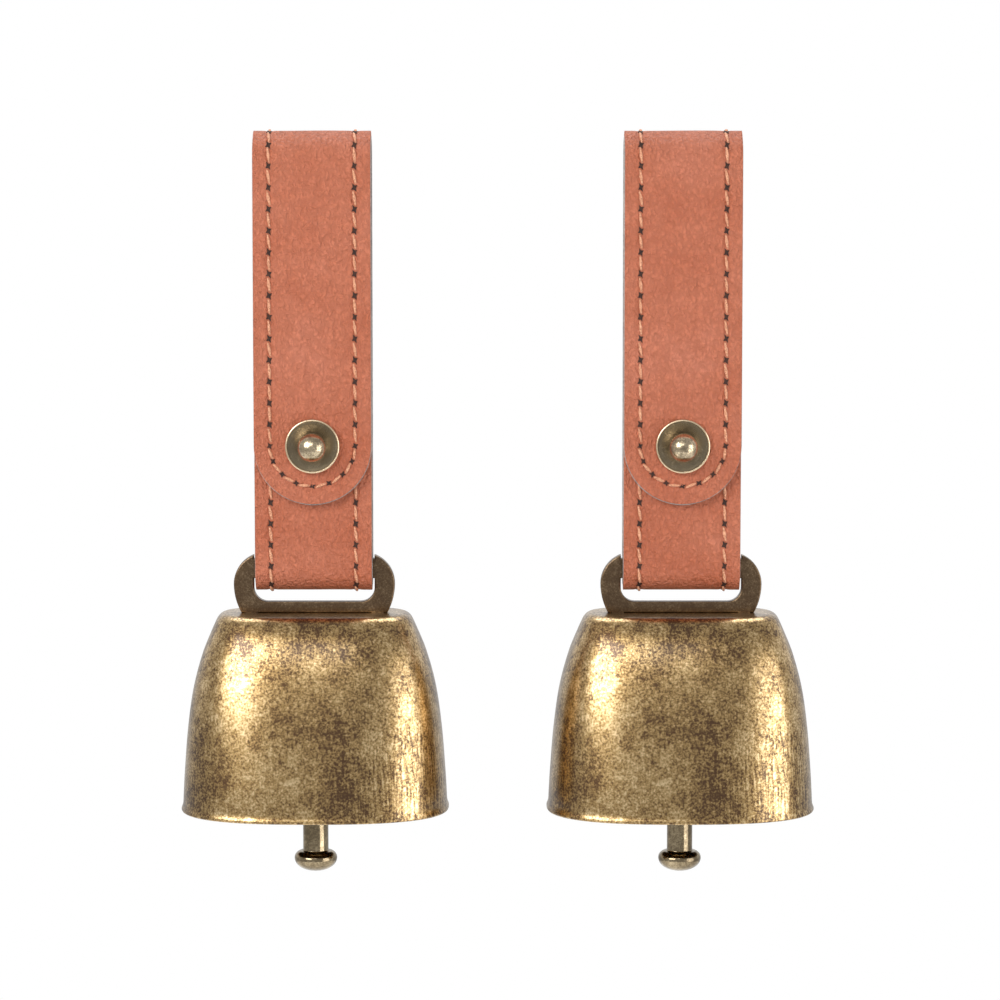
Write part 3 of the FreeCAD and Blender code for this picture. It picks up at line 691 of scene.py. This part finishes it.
def brass_age_group():
    """Antiqued brass: a dark dip left in the hollows of a fine grain and rubbed back to metal on
    the high spots, in patches. Gives a colour, a roughness and a height."""
    tree = bpy.data.node_groups.new("aged_brass", "ShaderNodeTree")
    new_inputs(
        tree, ("Place", "Vector", None), ("Grain", "Float", 3200.0), ("Patches", "Float", 0.4),
        ("Rubbed", "Float", 0.5), ("Dip", "Color", (0.06, 0.035, 0.018, 1)),
        ("Metal", "Color", (0.40, 0.26, 0.12, 1)), ("Bright", "Color", (0.80, 0.60, 0.34, 1)),
        ("Dull", "Float", 0.5), ("Shine", "Float", 0.28),
    )
    for name, kind in (("Color", "Color"), ("Roughness", "Float"), ("Height", "Float")):
        tree.interface.new_socket(name, in_out="OUTPUT", socket_type=f"NodeSocket{kind}")
    given = tree.nodes.new("NodeGroupInput").outputs
    grain = fine_noise(tree, given["Place"], given["Grain"], 5.0, 0.72)["Fac"]
    wide_scale = maths(tree, "MULTIPLY", given["Grain"], 0.055)
    wide = fine_noise(tree, given["Place"], wide_scale, 4.0, 0.6)["Fac"]
    middling_scale = maths(tree, "MULTIPLY", given["Grain"], 0.24)
    middling = fine_noise(tree, given["Place"], middling_scale, 3.0, 0.7)["Fac"]
    wide = maths(tree, "MULTIPLY_ADD", maths(tree, "SUBTRACT", middling, 0.5), 0.8, wide)
    drift = maths(tree, "MULTIPLY", maths(tree, "SUBTRACT", wide, 0.5), given["Patches"])
    rubbed = maths(tree, "SUBTRACT", given["Rubbed"], 0.5)
    level = maths(tree, "ADD", maths(tree, "ADD", grain, drift), rubbed)
    bare = ranged(tree, level, 0.38, 0.54)
    lit = ranged(tree, level, 0.54, 0.70)
    colour = blend_colours(tree, bare, given["Dip"], given["Metal"])
    colour = blend_colours(tree, lit, colour, given["Bright"])
    rough = ranged(tree, bare, 0.0, 1.0, given["Dull"], given["Shine"])
    add(tree, "NodeGroupOutput", {"Color": colour, "Roughness": rough, "Height": level})
    return tree


brass_age = brass_age_group()


def aged_brass(name, relief, coat=0.0, coat_rough=0.1, place_from=None, **values):
    """A material of the aged brass group under a clear lacquer, placed by the piece's own
    coordinates or by the attribute in place_from. Gives the group node too."""
    material, tree, shader = new_material(name)
    if place_from:
        place = add(tree, "ShaderNodeAttribute", attribute_name=place_from).outputs["Vector"]
    else:
        place = object_place(tree)
    worn = add(tree, "ShaderNodeGroup", {"Place": place, **values}, node_tree=brass_age)
    give(tree, shader, {
        "Base Color": worn.outputs["Color"], "Roughness": worn.outputs["Roughness"], "Metallic": 1.0,
        "Coat Weight": coat, "Coat Roughness": coat_rough,
        "Normal": bump(tree, worn.outputs["Height"], 0.6, relief),
    })
    return material, tree, worn


def plated_stud():
    """The stud's finish: smooth dark plating, rubbed bright on the rim and the ball's end."""
    material, tree, group = aged_brass(
        "stud_brass", 0.004 * mm, coat=0.5, coat_rough=0.12, Grain=6500.0, Patches=0.4,
        Dip=(0.20, 0.155, 0.095, 1), Metal=(0.27, 0.215, 0.135, 1), Bright=(0.84, 0.68, 0.46, 1),
        Dull=0.34, Shine=0.26,
    )
    worn = add(tree, "ShaderNodeAttribute", attribute_name="worn").outputs["Fac"]
    give(tree, group, {"Rubbed": maths(tree, "MULTIPLY_ADD", worn, 0.45, 0.46)})
    return material


stud_brass = plated_stud()
quarter_turn = Matrix.Rotation(math.pi / 2, 4, "X")
for side in sides:
    disc_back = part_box(f"{side}_closure_stud")[1].y - stud_barrel_deep
    shape = turned_shape(stud_outline(), around=96)
    worn = shape.verts.layers.float.new("worn")
    for vert in shape.verts:
        radius, rise = math.hypot(vert.co.x, vert.co.y), vert.co.z
        on_rim = radius > stud_disc - rim_reach and rise > 0
        on_ball = rise > stud_ball_up - ball_reach
        vert[worn] = rim_worn if on_rim else ball_worn if on_ball else 0.0
    # Stood along -Y, ball to the front, at the stud's own height.
    stand = Matrix.Translation((strap_centre(side), disc_back, stud_z)) @ quarter_turn
    bmesh.ops.transform(shape, matrix=stand, verts=shape.verts[:])
    piece = keep_corners(made_piece(f"{side}_closure_stud_turned", shape))
    finished(piece, stud_brass, f"{side}_stud", "stud_brass", f"{side}_closure_stud")


# --------------------------- closure screw
# A slotted brass screw with a thin flat head, put in from inside the loop and up into the stud's
# barrel. It keeps its design mesh.

screw_brass = aged_brass(
    "screw_brass", 0.02 * mm, Grain=2600.0, Patches=0.3, Rubbed=0.55,
    Dip=(0.12, 0.085, 0.045, 1), Metal=(0.38, 0.29, 0.17, 1), Bright=(0.66, 0.54, 0.36, 1),
)[0]


def refinished(node, material):
    """A node that keeps its design mesh and gets a finish."""
    piece = frame["nodes"][node]
    piece.data.materials.clear()
    piece.data.materials.append(material)


for side in sides:
    refinished(f"{side}_closure_screw", screw_brass)


# ----------------------------- hanger ring
# A flat ring punched from 2 mm brass plate and tumbled, so that its edges are round and bright.
# The strap folds round its upper bar; the lower bar stands on the crown on two tangs.

ring_half_thick, ring_wide, ring_ear, ring_ear_drop = 1.0 * mm, 13.9 * mm, 5.4 * mm, 2.7 * mm
ring_bar, ring_slot, ring_slot_drop, ring_slot_corner = 1.7 * mm, 10.4 * mm, 5.75 * mm, 2.4 * mm
ring_foot_drop, ring_foot = 7.7 * mm, 12.6 * mm
tang_in, tang_out, tang_reach, ring_round = 9.8 * mm, 12.0 * mm, 1.9 * mm, 0.42 * mm


def ring_outlines():
    """The right half of the plate's outer edge and of its slot, from the top down, about the bar."""
    shoulder = ring_slot - (ring_wide - ring_ear)
    begin = math.degrees(math.acos(shoulder / ring_ear))
    outer = [(0, ring_bar), (ring_slot, ring_bar)]
    outer += arc_points((ring_wide - ring_ear, -ring_ear_drop), ring_ear, begin, 0, 14)
    inset, fall = ring_wide - ring_foot, ring_foot_drop - ring_ear_drop
    side = (inset**2 + fall**2) / (2 * inset)
    swept = math.degrees(math.asin(fall / side))
    outer += arc_points((ring_wide - side, -ring_ear_drop), side, 0, -swept, 7)[1:]
    outer += [
        (tang_out, -ring_foot_drop), (tang_out, -ring_foot_drop - tang_reach),
        (tang_in, -ring_foot_drop - tang_reach), (tang_in, -ring_foot_drop), (0, -ring_foot_drop),
    ]
    corner = (ring_slot - ring_slot_corner, -ring_slot_drop + ring_slot_corner)
    slot = [(0, -ring_bar), (ring_slot, -ring_bar)]
    slot += arc_points(corner, ring_slot_corner, 0, -90, 10)
    slot += [(0, -ring_slot_drop)]
    return outer, slot


def ring_plate(centre_x):
    shape = bmesh.new()
    loops = []
    for half in ring_outlines():
        whole = half + [(-x, z) for x, z in reversed(half[1:-1])]
        verts = [shape.verts.new((x, 0, z)) for x, z in whole]
        loops += [shape.edges.new((a, b)) for a, b in zip(verts, verts[1:] + verts[:1])]
    bmesh.ops.triangle_fill(shape, edges=loops, use_beauty=True)
    bmesh.ops.dissolve_limit(shape, angle_limit=0.01, verts=shape.verts[:], edges=shape.edges[:])
    bmesh.ops.translate(shape, verts=shape.verts[:], vec=(0, -ring_half_thick, 0))
    thickened(shape, (0, 2 * ring_half_thick, 0))
    rims = [
        edge for edge in shape.edges
        if at_corner(edge) and abs(edge.verts[0].co.y - edge.verts[1].co.y) < nothing
    ]
    rounded(shape, rims, ring_round, 5)
    bmesh.ops.translate(shape, verts=shape.verts[:], vec=(centre_x, 0, bar_z))
    return shape


ring_brass = aged_brass(
    "dark_brass", 0.02 * mm, coat=0.5, coat_rough=0.14, Grain=3600.0, Patches=0.45, Rubbed=0.47,
    Dip=(0.105, 0.062, 0.031, 1), Metal=(0.170, 0.108, 0.056, 1), Bright=(0.32, 0.22, 0.125, 1),
    Dull=0.40, Shine=0.30,
)[0]
for side in sides:
    piece = keep_corners(made_piece(f"{side}_hanger_ring_plate", ring_plate(strap_centre(side))), 30)
    finished(piece, ring_brass, f"{side}_bell", "dark_brass", f"{side}_hanger_ring")


# ------------------------------ bell shell
# The bell: sheet brass pressed to a flat-sided cup that widens downwards, with a small flare at
# the mouth, dipped, tumbled to a mottled antique finish and lacquered.

shell_wall, shell_shoulder, shell_lip = 0.9 * mm, 1.3 * mm, 0.30 * mm
shell_around, shoulder_steps, side_steps, lip_steps, inside_steps = 176, 8, 84, 9, 26
# In mm: how far below the crown, half of the width there, half of the depth from front to back.
shell_stations = [tuple(value * mm for value in row) for row in (
    (0.0, 16.4, 8.2), (3.0, 17.75, 10.3), (7.0, 19.35, 12.0), (13.0, 20.95, 13.6),
    (20.0, 21.95, 14.9), (28.0, 22.6, 16.0), (31.5, 22.8, 16.3), (33.2, 22.92, 16.42),
    (34.2, 23.3, 16.8),
)]
deepest = shell_stations[-1][0]
crown_square, mouth_square = 3.0, 2.62


def between_stations(depth):
    """Half width and half depth at a depth, on a smooth curve through the stations."""
    last = len(shell_stations) - 1
    n = max(i for i in range(last) if depth >= shell_stations[i][0] or i == 0)
    below, above = shell_stations[n + 1], shell_stations[n]
    before, after = shell_stations[max(0, n - 1)], shell_stations[min(last, n + 2)]
    run = below[0] - above[0]
    share = (depth - above[0]) / run
    found = []
    for k in (1, 2):
        leave = (below[k] - before[k]) / (below[0] - before[0]) * run
        arrive = (after[k] - above[k]) / (after[0] - above[0]) * run
        found.append(
            (2 * share**3 - 3 * share**2 + 1) * above[k] + (share**3 - 2 * share**2 + share) * leave
            + (3 * share**2 - 2 * share**3) * below[k] + (share**3 - share**2) * arrive
        )
    return found


def squareness(depth):
    """How square the shell's section is at a depth: 2 would be an ellipse."""
    return crown_square + (mouth_square - crown_square) * depth / deepest


def round_corner(share, first, corner, last):
    """A value on the curve from first to last that a corner pulls towards itself."""
    rest = 1 - share
    return rest**2 * first + 2 * share * rest * corner + share**2 * last


def shell_rings():
    """(half width, half depth, depth below the crown, squareness) from the crown's middle, down
    the outside, round the lip and up the inside."""
    wide, deep = between_stations(0)
    rings = [(0, 0, 0, crown_square)]
    flat_wide, flat_deep = wide - shell_shoulder, deep - shell_shoulder
    for share in (0.3, 0.6, 0.85):
        rings.append((flat_wide * share, flat_deep * share, 0, crown_square))
    side_wide, side_deep = between_stations(shell_shoulder)
    for k in range(shoulder_steps + 1):
        share = k / shoulder_steps
        across = round_corner(share, flat_wide, wide, side_wide)
        along = round_corner(share, flat_deep, deep, side_deep)
        rings.append((across, along, round_corner(share, 0, 0, shell_shoulder), crown_square))
    lip_top = deepest - shell_lip
    for k in range(1, side_steps + 1):
        depth = shell_shoulder + (lip_top - shell_shoulder) * k / side_steps
        rings.append((*between_stations(depth), depth, squareness(depth)))
    wide, deep = between_stations(lip_top)
    for k in range(1, lip_steps + 1):
        angle = math.pi / 2 * k / lip_steps
        pulled = shell_lip * (1 - math.cos(angle))
        rings.append((wide - pulled, deep - pulled, lip_top + shell_lip * math.sin(angle), mouth_square))
    inner_edge = shell_wall - 0.1 * mm
    rings.append((wide - inner_edge, deep - inner_edge, deepest, mouth_square))
    mouth, roof = deepest - 0.15 * mm, shell_wall + shell_shoulder
    for k in range(inside_steps + 1):
        depth = mouth + (roof - mouth) * k / inside_steps
        wide, deep = between_stations(depth)
        rings.append((wide - shell_wall, deep - shell_wall, depth, squareness(depth)))
    wide, deep = rings[-1][:2]
    for share in (0.92, 0.6, 0.3, 0):
        rings.append((wide * share, deep * share, shell_wall, crown_square))
    return rings


def shell_cup(centre_x, crown_z):
    """The cup in its place, each point holding where it lies from the crown's middle."""
    shape = bmesh.new()
    rings = []
    for wide, deep, depth, square in shell_rings():
        if wide < nothing:
            rings.append([shape.verts.new((centre_x, 0, crown_z - depth))])
            continue
        ring = []
        for n in range(shell_around):
            angle = 2 * math.pi * n / shell_around
            across, along = math.cos(angle), math.sin(angle)
            x = wide * math.copysign(abs(across) ** (2 / square), across)
            y = deep * math.copysign(abs(along) ** (2 / square), along)
            ring.append(shape.verts.new((centre_x + x, y, crown_z - depth)))
        rings.append(ring)
    for low, high in zip(rings, rings[1:]):
        bridge_rings(shape, low, high)
    face_outwards(shape)
    held = shape.verts.layers.float_vector.new("from_crown")
    for vert in shape.verts:
        vert[held] = vert.co - Vector((centre_x, 0, crown_z))
    return shape


# Spots where the finish is made lighter and glossier or darker and duller: the place from the crown's
# middle and the reach, both in mm, and the change.
tone_spots = (
    ((2.5, -15, -20), 7, -0.05), ((7, -16, -32), 11, -0.09), ((-9, -14, -23), 10, 0.05),
    ((-12, -11, -8), 9, 0.04), ((17, -9, -20), 12, 0.05), ((-19, -6, -30), 9, -0.04),
    ((0, -9, -1), 9, -0.05),
)

# The upright drawing lines: where they are strongest, how far they reach, and their stretch.
lines_at, lines_reach, line_stretch = (17 * mm, -9 * mm, -29 * mm), 18 * mm, 0.02


def near(tree, own, place, close, far, inside, outside):
    """A value that eases from inside, close to a place, to outside, far from it."""
    away = add(tree, "ShaderNodeVectorMath", {0: own, 1: place}, operation="DISTANCE").outputs["Value"]
    return ranged(tree, away, close, far, inside, outside, "SMOOTHSTEP")


def antique_brass():
    """The shell's finish: the aged brass group, made lighter in some spots and darker in others, with
    fine upright drawing lines."""
    material, tree, group = aged_brass(
        "antique_brass", 0.02 * mm, coat=0.8, coat_rough=0.20, place_from="from_crown",
        Grain=2500.0, Patches=0.48,
        Dip=(0.085, 0.040, 0.014, 1), Metal=(0.47, 0.300, 0.110, 1), Bright=(0.88, 0.67, 0.38, 1),
        Dull=0.42, Shine=0.28,
    )
    own = group.inputs["Place"].links[0].from_socket
    level = 0.50
    for place, reach, change in tone_spots:
        centre = [value * mm for value in place]
        level = maths(tree, "ADD", near(tree, own, centre, 0.0, reach * mm, change, 0.0), level)
    stretched = add(tree, "ShaderNodeMapping", {"Vector": own, "Scale": (1.0, 1.0, line_stretch)})
    lines = fine_noise(tree, stretched.outputs[0], 2600.0, 2.0)["Fac"]
    strong = near(tree, own, lines_at, 5 * mm, lines_reach, 0.60, 0.10)
    drawn = maths(tree, "MULTIPLY", maths(tree, "SUBTRACT", lines, 0.5), strong)
    give(tree, group, {"Rubbed": maths(tree, "ADD", level, drawn)})
    return material


shell_brass = antique_brass()
for side in sides:
    cup = shell_cup(strap_centre(side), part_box(f"{side}_bell_shell")[1].z)
    piece = keep_corners(made_piece(f"{side}_bell_shell_pressed", cup), 50)
    finished(piece, shell_brass, f"{side}_bell", "antique_brass", f"{side}_bell_shell")


# -------------------- staple and link wire
# Plated steel wire: a staple through the crown and an oblong link that swings on it and carries
# the clapper. Both keep their design meshes.


def steel_wire():
    """Dull plating over drawn wire: the darker the smoother."""
    material, tree, shader = new_material("steel_wire")
    drawn = fine_noise(tree, object_place(tree), 1800.0, 3.0)["Fac"]
    colour = ramp(tree, drawn, ((0.3, (0.24, 0.22, 0.19)), (0.7, (0.52, 0.49, 0.44))))
    gloss = ranged(tree, drawn, 0.0, 1.0, 0.25, 0.5)
    give(tree, shader, {"Base Color": colour, "Metallic": 1.0, "Roughness": gloss})
    return material


wire = steel_wire()
for side in sides:
    refinished(f"{side}_clapper_staple", wire)
    refinished(f"{side}_clapper_link", wire)


# --------------------------------- clapper
# A turned brass rod with a rounded bead at its lower end. Its upper end is hammered flat and
# pierced, and hangs on the link.

clapper_rod, clapper_bead, bead_half, clapper_reach = 2.2 * mm, 3.7 * mm, 2.25 * mm, 35.15 * mm
eye_half_thick, eye_hole, eye_slack, eye_top = 0.6 * mm, 1.2 * mm, 0.25 * mm, 2.2 * mm
eye_long, eye_slope, eye_round, neck_round = 4.0 * mm, 1.5 * mm, 0.6 * mm, 0.25 * mm
bead_steps, neck_steps, rod_steps, cut_past = 24, 12, 12, 1 * mm


def clapper_outline():
    """The turned rod before its end is flattened, from the bead's bottom up, about the link."""
    middle = -clapper_reach + bead_half
    outline = [(0, -clapper_reach)]
    for k in range(1, bead_steps + 1):
        angle = math.pi / 2 * k / bead_steps
        outline.append((clapper_bead * math.sin(angle) ** 0.9, middle - bead_half * math.cos(angle)))
    shoulder = bead_half * 0.55
    reach = clapper_bead - clapper_rod - neck_round
    for k in range(1, neck_steps + 1):
        angle = math.pi / 2 * k / neck_steps
        wide = clapper_bead - reach * (1 - math.cos(angle))
        outline.append((wide, middle + shoulder * math.sin(angle)))
    neck_at = (clapper_rod + neck_round, middle + shoulder + neck_round)
    outline += arc_points(neck_at, neck_round, 270, 180, 5)
    rod_long = eye_top - middle - shoulder - eye_round
    for k in range(1, rod_steps):
        outline.append((clapper_rod, middle + shoulder + rod_long * k / rod_steps))
    outline += arc_points((clapper_rod - eye_round, eye_top - eye_round), eye_round, 0, 90, 6)
    return outline + [(0, eye_top)]


def flattened(shape):
    """Cut the rod's upper end to a flat tongue with a cross hole, as the hammer and drill do."""
    piece = made_piece("clapper_blank", shape)
    cutters = []
    for sign in (1, -1):
        cutter = bmesh.new()
        far, foot = clapper_rod + cut_past, -eye_long - eye_slope
        outline = [
            (eye_half_thick, eye_top + cut_past), (eye_half_thick, -eye_long), (clapper_rod, foot),
            (far, foot), (far, eye_top + cut_past),
        ]
        cutter.faces.new([cutter.verts.new((-far, sign * y, z)) for y, z in outline])
        thickened(cutter, (2 * far, 0, 0))
        cutters.append(made_piece("flat_cutter", cutter, smooth=False))
    drill_end = 3 * mm
    drill = turned_shape([
        (0, -drill_end), (eye_hole, -drill_end), (eye_hole, drill_end), (0, drill_end),
    ], around=32)
    lowered = Matrix.Translation((0, 0, -eye_slack)) @ quarter_turn
    bmesh.ops.transform(drill, verts=drill.verts[:], matrix=lowered)
    cutters.append(made_piece("eye_drill", drill, smooth=False))
    for cutter in cutters:
        modifier = piece.modifiers.new("cut", "BOOLEAN")
        modifier.operation, modifier.solver, modifier.object = "DIFFERENCE", "EXACT", cutter
    applied(piece)
    for cutter in cutters:
        bpy.data.objects.remove(cutter)
    return piece


rod_brass = aged_brass(
    "dark_brass_rod", 0.008 * mm, coat=0.4, coat_rough=0.07, Grain=5600.0, Patches=0.6, Rubbed=0.53,
    Dip=(0.15, 0.110, 0.062, 1), Metal=(0.27, 0.205, 0.118, 1), Bright=(0.50, 0.40, 0.25, 1),
    Dull=0.24, Shine=0.16,
)[0]
for side in sides:
    piece = flattened(turned_shape(clapper_outline(), around=96))
    piece.name = f"{side}_clapper_turned"
    piece.data.transform(Matrix.Translation(joint_at[f"{side}_clapper_swing"]))
    keep_corners(piece, 34)
    finished(piece, rod_brass, f"{side}_clapper", "dark_brass_rod", f"{side}_clapper")


# ------------------------ stage and camera
# A pale floor well below and a white surround, brighter behind and above the horizon than from
# the front. A soft box stands high on the left, a broad panel on the right, a weak fill over the
# front and a wide light high behind.

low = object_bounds()[0]
aim = Vector((0.4 * mm, 0, -58.9 * mm))
distance, view_width, elevation = 0.72, 172.4 * mm, math.radians(6.6)
room_dim, room_bright = 0.50, 0.75
floor_radius, floor_drop = 0.55, 0.22
lights_aim = Vector((0, 0, -70 * mm))

floor_shape = bmesh.new()
bmesh.ops.create_circle(floor_shape, cap_ends=True, segments=96, radius=floor_radius)
bmesh.ops.translate(floor_shape, verts=floor_shape.verts[:], vec=(0, 0, low.z - floor_drop))
floor = made_piece("studio_floor", floor_shape, smooth=False)
pale, tree, shader = new_material("pale_floor")
give(tree, shader, {"Base Color": (0.86, 0.86, 0.85, 1), "Roughness": 0.7})
floor.data.materials.append(pale)
floor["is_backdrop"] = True

world = bpy.data.worlds.new("studio")
world.use_nodes = True
tree = world.node_tree
tree.nodes.clear()
around = add(tree, "ShaderNodeTexCoord").outputs["Generated"]
toward = add(tree, "ShaderNodeSeparateXYZ", {0: around}).outputs
behind = ranged(tree, toward["Y"], -0.30, 0.60, way="SMOOTHSTEP")
above = ranged(tree, toward["Z"], -0.04, 0.08, way="SMOOTHSTEP")
far_sky = maths(tree, "MULTIPLY", behind, above)
lit = maths(tree, "MULTIPLY_ADD", far_sky, room_bright - room_dim, room_dim)
seen = add(tree, "ShaderNodeLightPath").outputs["Is Camera Ray"]
strength = add(tree, "ShaderNodeMix", {0: seen, 2: lit, 3: 1.0}, data_type="FLOAT").outputs[0]
background = add(tree, "ShaderNodeBackground", {"Color": (1, 1, 1, 1), "Strength": strength})
add(tree, "ShaderNodeOutputWorld", {"Surface": background.outputs[0]})
bpy.context.scene.world = world


def soft_light(name, azimuth, height, away, wide, tall, power):
    """A rectangular soft box aimed at the bells, azimuth from the front and positive to the right."""
    data = bpy.data.lights.new(name, "AREA")
    data.shape, data.size, data.size_y, data.energy = "RECTANGLE", wide, tall, power
    light = placed(name, data)
    a, e = math.radians(azimuth), math.radians(height)
    toward = Vector((math.sin(a) * math.cos(e), -math.cos(a) * math.cos(e), math.sin(e)))
    light.location = lights_aim + toward * away
    light.rotation_euler = toward.to_track_quat("Z", "Y").to_euler()


soft_light("softbox_left", -43, 26, 0.8, 0.44, 0.42, 4.4)
soft_light("panel_right", 60, -1, 0.75, 0.50, 0.60, 2.7)
soft_light("fill_front", -10, 34, 0.9, 0.42, 0.26, 0.9)
soft_light("top_light", 180, 64, 0.9, 0.9, 0.5, 4.5)

camera_data = bpy.data.cameras.new("camera")
camera_data.lens = camera_data.sensor_width * distance / view_width
camera = placed("camera", camera_data)
back = Vector((0, -math.cos(elevation), math.sin(elevation)))
camera.location = aim + back * distance
camera.rotation_euler = back.to_track_quat("Z", "Y").to_euler()
bpy.context.scene.camera = camera
bpy.context.scene.view_settings.view_transform = "Standard"

low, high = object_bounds()
